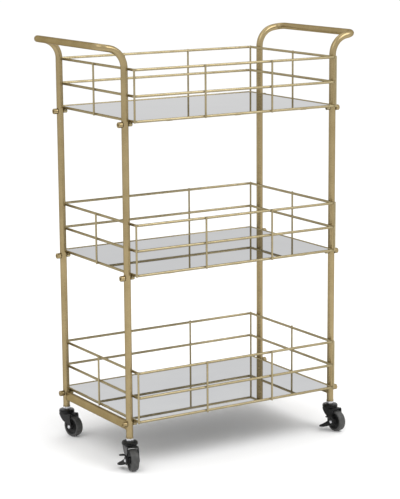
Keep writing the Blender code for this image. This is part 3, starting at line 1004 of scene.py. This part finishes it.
BRAKE_BOSS_SECTION = (
    (0.0034, 0.0), (0.0098, 0.0), (0.0104, 0.0006),
    (0.0104, BRAKE_THICKNESS - 0.0010), (0.0095, BRAKE_THICKNESS), (0.0052, BRAKE_THICKNESS),
    (0.0052, BRAKE_THICKNESS - 0.0001), (0.0034, BRAKE_THICKNESS - 0.0001),
)

# Edges of a fork leg above the axle, as rows of height over the floor and Y from the swivel line.
LEG_FRONT = (
    (0.0300, -0.0177), (0.0365, -0.0010), (0.0410, 0.0043),
    (0.0455, 0.0085), (0.0495, 0.0108), (0.0530, 0.0120),
)
LEG_BACK = ((0.0263, -0.0319), (0.0400, -0.0275), (0.0500, -0.0265))

# The brake's pad and tab, along each from its root at 0 to its tip at 1. Lines are rows of that
# share and two places from the axle: Y and Z for the pad, X and Z for the tab. Girths are rows
# of the share, the half width and the half thickness.
PAD_LINE = ((0.0, 0.0045, -0.0030), (0.35, 0.0125, -0.0082), (0.7, 0.0222, -0.0132), (1.0, 0.0322, -0.0160))
PAD_GIRTH = (
    (0.0, 0.0018, 0.0068), (0.3, 0.0032, 0.0058), (0.6, 0.0056, 0.0042),
    (0.9, 0.0064, 0.0025), (1.0, 0.0050, 0.0016),
)
PAD_RIBS = (0.58, 0.72, 0.86)
TAB_LINE = ((0.0, -0.0163, 0.0050), (0.45, -0.0170, 0.0122), (0.7, -0.0212, 0.0143), (1.0, -0.0316, 0.0146))
TAB_GIRTH = ((0.0, 0.0062, 0.0016), (0.5, 0.0056, 0.0018), (0.9, 0.0047, 0.0015), (1.0, 0.0034, 0.0010))


@dataclass
class Caster:
    """One swivel caster with its plug in the post.

    Its stem, race and fork are drawn about the swivel line, from the floor up and
    trailing to -Y. Its wheel, axle and brake are drawn about the axle.
    """

    corner: Corner
    plug_bore: float = 0.0043
    plug_radius: float = 0.0058
    flange_radius: float = 0.0087
    flange_height: float = 0.0026
    flange_edge: float = 0.0007
    rivet_radius: float = 0.0069
    rivet_chamfer: float = 0.0013
    rivet_wall: float = 0.0010
    rivet_height: float = 0.0021
    rivet_drop: float = 0.0025
    stem_radius: float = 0.0040
    stem_tip: float = 0.0030
    stem_top: float = 0.0924
    thread_low: float = 0.0705
    thread_high: float = 0.0905
    thread_depth: float = 0.00035
    thread_turns: int = 16
    collar_apothem: float = 0.0078
    collar_bore: float = 0.0042
    collar_low: float = 0.0641
    collar_high: float = 0.0695
    collar_slope: float = 0.55
    collar_break: float = 0.0001
    ball_height: float = 0.0596
    ball_radius: float = 0.0019
    ball_circle: float = 0.0115
    ball_count: int = 14
    ball_gap: float = 0.0003
    cage_inner: float = 0.0103
    cage_outer: float = 0.0128
    cage_thickness: float = 0.0010
    press_edge: float = 0.0006
    crown_radius: float = 0.0185
    crown_bore: float = 0.0046
    crown_skirt: float = 0.0018
    web_top: float = 0.0565
    web_bottom: float = 0.0545
    web_bend: float = 0.0052
    lip_thickness: float = 0.0018
    lip_height: float = 0.0030
    lip_edge: float = 0.0008
    lip_rise: float = 0.0002
    lip_overlap: float = 0.001
    leg_inside: float = 0.012
    leg_outside: float = 0.0142
    foot_radius: float = 0.008
    trail: float = 0.024
    wheel_radius: float = 0.025
    tread_reach: float = 0.0068
    tread_crown: float = 0.045
    axle_reach: float = 0.0167
    brake_gap: float = 0.0003
    pad_inside: float = 0.0150
    pad_splay: float = 0.0018
    rib_depth: float = 0.0006
    rib_height: float = 0.0005

    def __post_init__(self) -> None:
        """Read the swivel line, the axle and the swivel angle from the joints."""
        self.label = self.corner.label
        joints = {joint["name"]: joint for joint in frame["joints"]}
        swivel, spin = joints[f"{self.label}_swivel_turn"], joints[f"{self.label}_wheel_spin"]
        x, y, _ = swivel["pos_m"]
        turn = math.atan2(spin["axis"][1], spin["axis"][0])
        self.swivel_place = Place((x, y, 0.0), turn)
        self.axle_place = Place(tuple(spin["pos_m"]), turn)
        self.has_brake = f"{self.label}_brake_press" in joints

    def build(self) -> None:
        """Draw the caster's pieces and put them in the scene."""
        fixed, turning, rolling = "cart", f"{self.label}_swivel", f"{self.label}_wheel"
        self.piece("plug", self.draw_plug(), CHAMPAGNE_LACQUER, fixed, "post_socket")
        self.piece("stem", self.draw_stem(), ZINC_PLATE, fixed, "caster_stem")
        self.piece("race", self.draw_race(), BLACK_STEEL, fixed, "race_cup")
        self.piece("balls", self.draw_balls(), POLISHED_STEEL, turning, "ball_cage")
        self.piece("yoke", self.draw_yoke(), BLACK_STEEL, turning, "fork")
        self.piece("axle_pin", self.draw_axle(), ZINC_PLATE, turning, "axle", on_axle=True)
        self.piece("hub", self.draw_hub(), MOULDED_NYLON, rolling, "wheel_hub", on_axle=True)
        self.piece("tread", self.draw_tread(), TREAD_RUBBER, rolling, "tyre", on_axle=True)
        if self.has_brake:
            pressed = f"{self.label}_brake"
            self.piece("brake", self.draw_brake(), MOULDED_NYLON, pressed, "brake_lever", on_axle=True)

    def piece(
        self, stem: str, draft: Draft, finish: Finish, body: str, node: str, on_axle: bool = False
    ) -> None:
        """Finish one drawing as a piece of this caster.

        Args:
            stem: the piece's short name.
            draft: its drawing, about the swivel line or about the axle.
            finish: its finish.
            body: the CAD body that it moves with.
            node: the short name of the CAD node that it stands for.
            on_axle: whether it is drawn about the axle.
        """
        name = f"{self.label}_{stem}"
        place = self.axle_place if on_axle else self.swivel_place
        make_piece(name, draft.mesh(name, place), finish, body, [f"{self.label}_{node}"])

    def draw_plug(self) -> Draft:
        """Plug in the post's open end: a rolled flange under the tube and a barrel up inside."""
        low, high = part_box(f"{self.label}_post_socket")
        flange_top = low.z + self.flange_height
        profile = [
            (self.plug_bore, low.z),
            (self.flange_radius, low.z),
            (self.flange_radius, flange_top),
            (self.plug_radius, flange_top),
            (self.plug_radius, high.z),
            (self.plug_bore, high.z),
        ]
        rounded = rounded_profile(profile, self.flange_edge, steps=4)
        return Draft().surface(turned_grid(rounded, sides=36), ring=True)

    def draw_stem(self) -> Draft:
        """Threaded stem with a rivet head under the fork's web and a hexagonal collar over the race."""
        low = self.web_bottom - self.rivet_drop
        high = low + self.rivet_height
        profile = [
            (0.0, low),
            (self.rivet_radius - self.rivet_chamfer, low),
            (self.rivet_radius, high - self.rivet_wall),
            (self.rivet_radius, high),
            (self.stem_radius, high),
        ]
        flanks = np.linspace(self.thread_low, self.thread_high, 2 * self.thread_turns + 1)
        for index, z in enumerate(flanks.tolist()):
            profile.append((self.stem_radius - self.thread_depth * (index % 2), z))
        profile += [(self.stem_tip, self.stem_top), (0.0, self.stem_top)]
        draft = Draft().surface(turned_grid(profile, sides=30))
        self.draw_collar(draft)
        return draft

    def draw_collar(self, draft: Draft) -> None:
        """Hexagonal collar whose corners are chamfered by a cone.

        Its radius is the hexagon's, and each end ring is cut back to a circle just
        over the apothem, which gives the curved chamfer.
        """
        a = angles(60)
        edge = hexagon(self.collar_apothem, a)
        circle = self.collar_apothem + self.collar_break
        drop = self.collar_slope * np.maximum(edge - circle, 0.0) + self.collar_break
        cut, bore = np.minimum(edge, circle), np.full(len(a), self.collar_bore)
        low, high = self.collar_low, self.collar_high
        radii = np.stack([bore, cut, edge, edge, cut, bore])
        heights = np.stack([low + 0 * a, low + 0 * a, low + drop, high - drop, high + 0 * a, high + 0 * a])
        draft.surface(rings(radii, heights, a), ring=True)

    def draw_race(self) -> Draft:
        """Fixed upper raceway: a pressed dome with a step and a turned-down skirt."""
        under = self.ball_height + self.ball_radius + self.ball_gap
        profile = [(radius, under + rise) for radius, rise in RACE_SECTION]
        return Draft().surface(turned_grid(rounded_profile(profile, self.press_edge), sides=64), ring=True)

    def draw_balls(self) -> Draft:
        """Swivel balls in their flat cage ring."""
        draft = Draft()
        low, high = self.ball_height - self.cage_thickness / 2, self.ball_height + self.cage_thickness / 2
        inner, outer = self.cage_inner, self.cage_outer
        profile = [(inner, low), (outer, low), (outer, high), (inner, high)]
        draft.surface(turned_grid(profile, sides=48), ring=True)
        for a in angles(self.ball_count, phase=0.1):
            x, y = self.ball_circle * math.cos(a), self.ball_circle * math.sin(a)
            centre = np.array([x, y, self.ball_height])
            draft.surface(ellipsoid_grid(centre, np.full(3, self.ball_radius), rows=9, sides=14))
        return draft

    def foot_reach(self, z: np.ndarray) -> np.ndarray:
        """Half width of a leg's round foot at a height: sqrt(R^2 - (z - axle height)^2)."""
        return np.sqrt(np.maximum(self.foot_radius**2 - (z - self.wheel_radius) ** 2, 0.0))

    def edge_front(self, z: np.ndarray) -> np.ndarray:
        """Y of a leg's front edge: round below the axle, then slanting up to the web."""
        (slant,) = between(LEG_FRONT, z)
        return np.where(z < LEG_FRONT[0][0], self.foot_reach(z) - self.trail, slant)

    def edge_back(self, z: np.ndarray) -> np.ndarray:
        """Y of a leg's back edge: round below the axle, then nearly upright."""
        (upright,) = between(LEG_BACK, z)
        return np.where(z < LEG_BACK[0][0], -self.trail - self.foot_reach(z), upright)

    def sheet_section(self, leg: float, web: float, bend: float) -> np.ndarray:
        """Section of one face of the fork's sheet: up a leg, over the web and down the other leg.

        Args:
            leg: X of the face on the leg.
            web: height of the face on the web.
            bend: radius of the face at the fold between them.

        Returns:
            Rows of X and height.
        """
        t = np.linspace(0, math.pi / 2, 12)
        foot = self.wheel_radius - self.foot_radius * np.cos(t)
        straight = np.linspace(LEG_BACK[0][0], self.web_top - self.web_bend, 16)
        c = np.linspace(0, math.pi / 2, 7)[1:]
        x = np.concatenate([np.full(len(foot) + len(straight), leg), leg - bend * (1 - np.cos(c))])
        z = np.concatenate([foot, straight, web - bend + bend * np.sin(c)])
        right = np.column_stack([x, z])
        return np.concatenate([right * np.array([-1.0, 1.0]), right[::-1]])

    def draw_yoke(self) -> Draft:
        """Pressed fork: one sheet folded over the wheel, with a dished crown on its top.

        Both faces of the sheet are carried from its front edge to its back edge,
        whose places depend on height, and strips close the sheet all round.
        """
        draft = Draft()
        inner_bend = self.web_bend - (self.leg_outside - self.leg_inside)
        outer = self.sheet_section(self.leg_outside, self.web_top, self.web_bend)
        inner = self.sheet_section(self.leg_inside, self.web_bottom, inner_bend)
        front, back = self.edge_front(outer[:, 1]), self.edge_back(outer[:, 1])
        y = front + (back - front) * np.linspace(0, 1, 9)[:, None]
        skin, lining = (
            np.stack([np.broadcast_to(face[:, 0], y.shape), y, np.broadcast_to(face[:, 1], y.shape)], axis=-1)
            for face in (outer, inner)
        )
        draft.surface(skin, round_=False)
        draft.surface(lining, round_=False)
        for end in (0, -1):
            draft.surface(np.stack([skin[end], lining[end]]), round_=False)
        for end in (0, -1):
            draft.surface(np.stack([skin[:, end], lining[:, end]]), round_=False)
        self.draw_lip(draft)
        self.draw_crown(draft)
        self.draw_leg_bosses(draft)
        return draft

    def draw_lip(self, draft: Draft) -> None:
        """Turned-down back edge of the web, a rounded strip between the legs."""
        section = outline(self.lip_thickness, self.lip_height, self.lip_edge, steps=4)
        y = LEG_BACK[-1][1] + self.lip_thickness / 2 + section[:, 0]
        z = self.web_bottom + self.lip_rise + section[:, 1]
        reach = self.leg_inside + self.lip_overlap
        rows = [np.stack([np.full(len(section), x), y, z], axis=-1) for x in (-reach, reach)]
        draft.surface(np.stack(rows), caps=True)

    def draw_crown(self, draft: Draft) -> None:
        """Lower raceway dish: a shallow cup with an upstanding rolled rim."""
        low, dish = self.web_top - 0.0014, self.web_top + 0.0004
        wide, rim = self.crown_radius, self.ball_height + self.ball_radius - self.crown_skirt
        profile = [
            (self.crown_bore, low),
            (wide - 0.0020, low),
            (wide - 0.0005, low + 0.0006),
            (wide, low + 0.0014),
            (wide, rim - self.crown_skirt),
            (wide - 0.0005, rim - 0.0013),
            (wide, rim - 0.0008),
            (wide, rim),
            (wide - 0.0014, rim),
            (wide - 0.0024, dish + 0.0001),
            (self.crown_bore, dish),
        ]
        draft.surface(turned_grid(rounded_profile(profile, self.press_edge), sides=64), ring=True)

    def draw_leg_bosses(self, draft: Draft) -> None:
        """Shallow round embossing on each leg about the axle."""
        axle = np.array([0.0, -self.trail, self.wheel_radius])
        for sign in (-1, 1):
            profile = [(radius, sign * (self.leg_outside + out)) for radius, out in LEG_BOSS_SECTION]
            draft.surface(along_x(turned_grid(profile, sides=40)) + axle, ring=True)

    def draw_axle(self) -> Draft:
        """Riveted axle with a dimpled dome at each end, longer on the side of a brake."""
        brake = self.brake_gap + BRAKE_THICKNESS if self.has_brake else 0.0
        left, right = -self.axle_reach - brake, self.axle_reach
        profile = [(radius, left + depth) for radius, depth in AXLE_HEAD_SECTION]
        profile += [(radius, right - depth) for radius, depth in reversed(AXLE_HEAD_SECTION)]
        return Draft().surface(along_x(turned_grid(profile, sides=32)))

    def draw_hub(self) -> Draft:
        """Wheel core: a boss, a dished web with a raised ring, and the rim that holds the tread."""
        profile = [(radius, -x) for radius, x in HUB_SECTION]
        profile += [(radius, x) for radius, x in reversed(HUB_SECTION)]
        return Draft().surface(along_x(turned_grid(profile, sides=72)), ring=True)

    def draw_tread(self) -> Draft:
        """Crowned tyre: its tread follows radius - x^2 / (2 * crown), with round shoulders."""
        x = np.linspace(-self.tread_reach, self.tread_reach, 13)
        tread = self.wheel_radius - x**2 / (2 * self.tread_crown)
        profile = [(radius, -out) for radius, out in SHOULDER_SECTION]
        profile += list(zip(tread.tolist(), x.tolist()))
        profile += reversed(SHOULDER_SECTION)
        return Draft().surface(along_x(turned_grid(profile, sides=96)), ring=True)

    def draw_brake(self) -> Draft:
        """Moulded brake rocker: a boss on the axle, a long foot pad below and a release tab above."""
        draft = Draft()
        inner = -self.leg_outside - self.brake_gap
        profile = [(radius, inner - out) for radius, out in BRAKE_BOSS_SECTION]
        draft.surface(along_x(turned_grid(profile, sides=48)), ring=True)
        self.draw_foot_pad(draft)
        self.draw_release_tab(draft)
        return draft

    def draw_foot_pad(self, draft: Draft) -> None:
        """Foot pad with ribs: boxy sections that widen outward and thin down from the boss to the tip."""
        share = np.linspace(0, 1, 17)
        y, z = between(PAD_LINE, share)
        wide, thick = between(PAD_GIRTH, share)
        line = np.stack([-self.pad_inside - self.pad_splay * share - wide, y, z], axis=-1)
        draft.surface(loft_grid(line, wide, thick), caps=True)
        for rib in PAD_RIBS:
            place = np.array([np.interp(rib, share, column) for column in line.T])
            half, lift = 0.82 * np.interp(rib, share, wide), np.interp(rib, share, thick)
            centre = place + np.array([0.0, 0.3 * lift, 0.95 * lift])
            size = np.array([half, self.rib_depth, self.rib_height])
            draft.surface(ellipsoid_grid(centre, size, rows=7, sides=12))

    def draw_release_tab(self, draft: Draft) -> None:
        """Release tab: a short tongue that rises from the boss and turns outward."""
        share = np.linspace(0, 1, 13)
        x, z = between(TAB_LINE, share)
        half_y, half_t = (column[:, None] for column in between(TAB_GIRTH, share))
        run = unit(np.gradient(np.stack([x, z], axis=-1), axis=0))
        a = angles(20, math.pi / 20)
        lift = half_t * signed_power(np.sin(a), 0.5)
        side = half_y * signed_power(np.cos(a), 0.5)
        grid = np.stack([x[:, None] - run[:, 1:] * lift, side, z[:, None] + run[:, :1] * lift], axis=-1)
        draft.surface(grid, caps=True)


# ---------------------------------------------------------------- studio


@dataclass(frozen=True)
class Softbox:
    """One square soft light: where it stands, the point it faces, its side and its power in watts."""

    name: str
    place: tuple[float, float, float]
    target: tuple[float, float, float]
    side: float
    power: float

    def build(self) -> None:
        """Put the light in the scene."""
        data = bpy.data.lights.new(self.name, "AREA")
        data.size = self.side
        data.energy = self.power
        made = bpy.data.objects.new(self.name, data)
        made.location = self.place
        made.rotation_euler = (Vector(self.target) - Vector(self.place)).to_track_quat("-Z", "Y").to_euler()
        bpy.context.scene.collection.objects.link(made)


# All three hang high, so that the mirrors don't show them to anyone who stands by the cart.
SOFTBOXES = (
    Softbox("left_softbox", place=(-2.0, -0.9, 3.0), target=(0.0, 0.0, 0.55), side=1.6, power=14.0),
    Softbox("right_softbox", place=(1.3, -2.1, 3.0), target=(0.0, 0.0, 0.5), side=1.8, power=40.0),
    Softbox("top_softbox", place=(0.2, 1.0, 3.4), target=(0.0, 0.0, 0.4), side=2.0, power=10.0),
)


@dataclass
class Studio:
    """Plain pale floor, soft white light and the camera."""

    camera_place: tuple[float, float, float] = (-2.1756, -3.5466, 1.2749)
    yaw: float = math.radians(31.603)
    pitch: float = math.radians(11.223)
    roll: float = math.radians(-0.408)
    lens_mm: float = 128.5
    sensor_mm: float = 36.0
    sky: float = 1.08
    floor_reach: float = 40.0

    def build(self) -> None:
        """Put the floor, the lights and the camera in the scene."""
        self.add_floor()
        self.add_sky()
        for softbox in SOFTBOXES:
            softbox.build()
        self.add_camera()
        bpy.context.scene.view_settings.view_transform = "Standard"

    def add_floor(self) -> None:
        """Wide matt floor with a faint unevenness."""
        reach = self.floor_reach
        made = bpy.data.meshes.new("studio_floor")
        points = [(-reach, -reach, 0.0), (reach, -reach, 0.0), (reach, reach, 0.0), (-reach, reach, 0.0)]
        made.from_pydata(points, [], [(0, 1, 2, 3)])
        made.materials.append(material(STUDIO_PAPER))
        floor = bpy.data.objects.new("studio_floor", made)
        bpy.context.scene.collection.objects.link(floor)

    def add_sky(self) -> None:
        """Even white surroundings."""
        world = bpy.data.worlds.new("studio_white")
        world.use_nodes = True
        background = world.node_tree.nodes["Background"]
        background.inputs["Color"].default_value = (1.0, 1.0, 1.0, 1.0)
        background.inputs["Strength"].default_value = self.sky
        bpy.context.scene.world = world

    def add_camera(self) -> None:
        """Add the camera, looking down and to the right from the front left."""
        data = bpy.data.cameras.new("main_camera")
        data.sensor_width = self.sensor_mm
        data.lens = self.lens_mm
        data.dof.use_dof = False
        made = bpy.data.objects.new("main_camera", data)
        made.location = self.camera_place
        aim = Euler((math.pi / 2 - self.pitch, 0.0, -self.yaw)).to_matrix()
        made.rotation_euler = (aim @ Euler((0.0, 0.0, self.roll)).to_matrix()).to_euler()
        bpy.context.scene.collection.objects.link(made)
        bpy.context.scene.camera = made


def main() -> None:
    """Build every sub-assembly, then the studio."""
    logging.basicConfig(level=logging.INFO, format="%(name)s: %(message)s")
    for side in Side:
        EndFrame(side).build()
    for tier in Tier:
        Basket(tier).build()
    for corner in Corner:
        Caster(corner).build()
    Studio().build()


if __name__ == "__main__":
    main()
